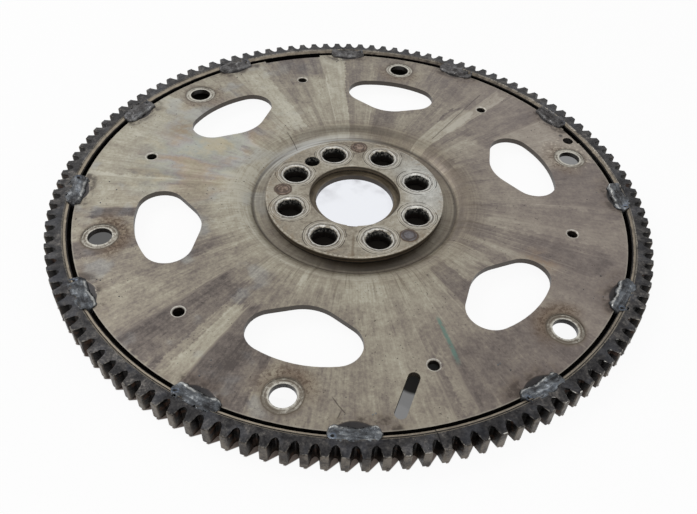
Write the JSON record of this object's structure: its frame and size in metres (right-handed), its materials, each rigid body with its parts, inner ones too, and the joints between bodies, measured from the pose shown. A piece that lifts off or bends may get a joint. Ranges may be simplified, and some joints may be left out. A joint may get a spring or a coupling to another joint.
{
  "type": "flexplate",
  "caption": "Round dished steel drive plate with oval windows, a riveted hub plate drilled for crankshaft bolts, and a starter ring gear welded round its rim.",
  "frame": {"origin": "on the axis of the part, in the plane of the ring gear's lower face", "axes": "+Z along the axis of the pilot bore, towards the side on which the hub plate lies; +X points at the middle of one rim weld's even place"},
  "size_m": [0.31, 0.31, 0.01],
  "materials": {
    "disc_steel": "wiped, stained, satin",
    "hub_steel": "ground, worn, satin",
    "rivet_steel": "rusty, dull",
    "gear_steel": "dark, oily",
    "weld_metal": "lumpy, blue-grey"
  },
  "bodies": {
    "root": {"flex_disc": "disc_steel", "hub_plate": "hub_steel", "hub_rivets": "rivet_steel", "ring_gear": "gear_steel", "ring_gear_welds": "weld_metal"}
  },
  "joints": []
}
